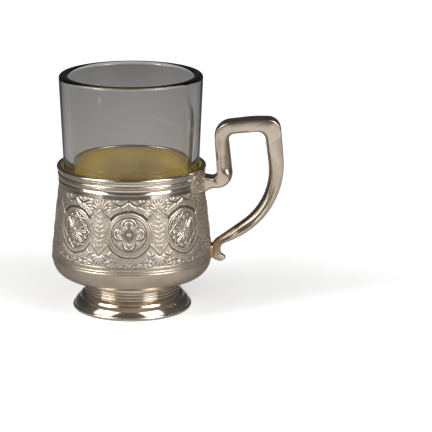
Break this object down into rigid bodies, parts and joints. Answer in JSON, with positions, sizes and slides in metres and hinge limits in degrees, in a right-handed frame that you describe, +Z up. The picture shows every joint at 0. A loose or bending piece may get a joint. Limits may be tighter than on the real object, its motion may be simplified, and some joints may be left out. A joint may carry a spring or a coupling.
{
  "type": "tea glass holder",
  "caption": "Footed metal tea glass holder with a chased wall, ribbed edge bands and an angular open handle, holding its plain tapered glass.",
  "frame": {"origin": "centre of the foot ring, in the plane of its flat underside", "axes": "+Z up along the axis of the glass, +X towards the handle, +Y across the handle"},
  "size_m": [0.115, 0.08, 0.118],
  "materials": {
    "silver_patinated": "chased silver, dark patina left in the sunk places, gilt inside",
    "silver_polished": "polished silver with fine wear",
    "silver_satin": "satin silver, worn smooth by hand",
    "clear_glass": "clear pressed glass, slightly grey"
  },
  "bodies": {
    "holder": {"wall_band": "silver_patinated", "rosettes_petal": "silver_patinated", "rosettes_star": "silver_patinated", "rim_wire": "silver_polished", "collar_wire": "silver_polished", "rim_moulding": "silver_polished", "reeded_band": "silver_polished", "bowl": "silver_satin", "foot_neck": "silver_polished", "foot_dome": "silver_polished", "foot_wire": "silver_polished", "handle_plate": "silver_patinated", "handle_pad": "silver_satin", "handle": "silver_satin"},
    "glass": {"tea_glass": "clear_glass"}
  },
  "joints": [
    {"name": "glass_lift", "type": "slide", "parent": "holder", "child": "glass", "axis": [0, 0, 1], "range_m": [0, 0.085]}
  ]
}
